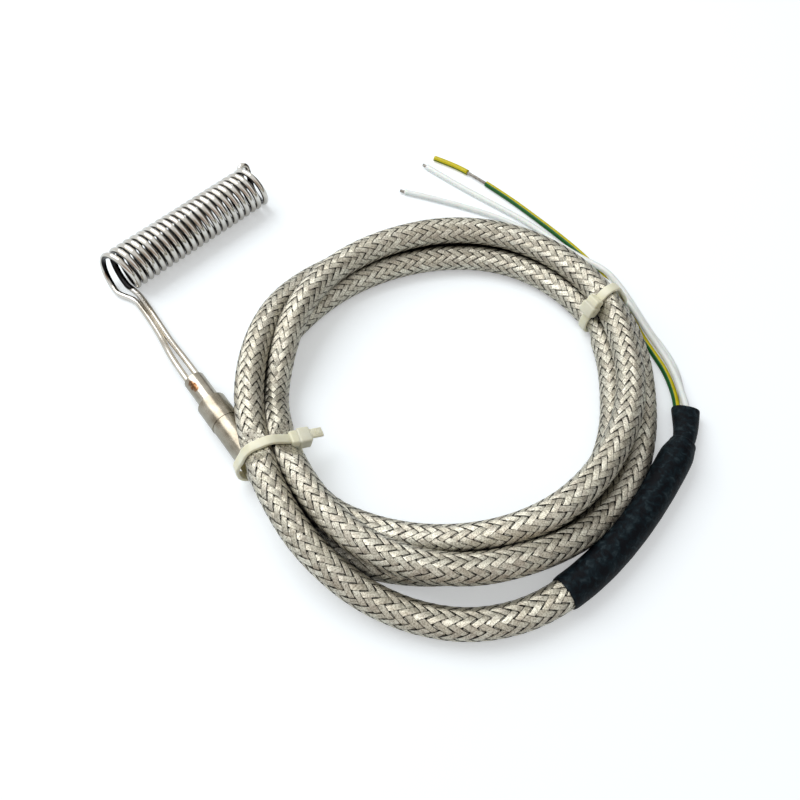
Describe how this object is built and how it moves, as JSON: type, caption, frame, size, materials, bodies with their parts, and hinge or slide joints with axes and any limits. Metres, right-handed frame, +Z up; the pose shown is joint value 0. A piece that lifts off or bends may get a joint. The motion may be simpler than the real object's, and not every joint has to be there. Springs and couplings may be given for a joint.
{
  "type": "hot runner coil heater",
  "caption": "Double-wound sheathed coil heater for a hot runner nozzle, with cold legs, a metal transition sleeve and a braided lead tied in loops.",
  "frame": {"origin": "centre of the coil bore at the coil's mouth, the end that the cold legs leave", "axes": "+X along the coil bore from its mouth to its hairpin end, +Z up from the surface the part lies on, +Y away from the lead"},
  "size_m": [0.1324, 0.1674, 0.0156],
  "materials": {
    "sheath_steel": "polished stainless sheath with faint brown reflections",
    "ferrule_steel": "turned steel with a brown heat stain",
    "sleeve_steel": "smooth drawn steel",
    "bead_ceramic": "fired ceramic",
    "pin_nickel": "drawn nickel",
    "crimp_brass": "plated brass",
    "cement": "rough potting cement",
    "braid_metal": "braided bright metal wire with dark gaps",
    "black_shrink": "matte black shrink tube",
    "white_insulation": "smooth white wire insulation",
    "earth_insulation": "yellow and green striped wire insulation",
    "bare_conductor": "stranded plated conductor",
    "nylon": "natural cream nylon"
  },
  "bodies": {
    "root": {"heater_sheath": "sheath_steel", "ferrule": "ferrule_steel", "transition_sleeve": "sleeve_steel", "insulating_bead": "bead_ceramic", "terminal_pin_1": "pin_nickel", "terminal_pin_2": "pin_nickel", "splice_1": "crimp_brass", "splice_2": "crimp_brass", "lead_tail_1": "white_insulation", "lead_tail_2": "white_insulation", "earth_tail": "earth_insulation", "earth_crimp": "crimp_brass", "potting_cement": "cement", "braid_start": "braid_metal", "braid_loops": "braid_metal", "braid_run": "braid_metal", "cable_tie_1": "nylon", "cable_tie_2": "nylon", "main_shrink": "black_shrink", "end_shrink": "black_shrink", "white_wire_1": "white_insulation", "white_wire_2": "white_insulation", "earth_wire": "earth_insulation", "line_core_1": "bare_conductor", "line_core_2": "bare_conductor", "earth_core": "bare_conductor", "earth_slug": "earth_insulation"}
  },
  "joints": []
}
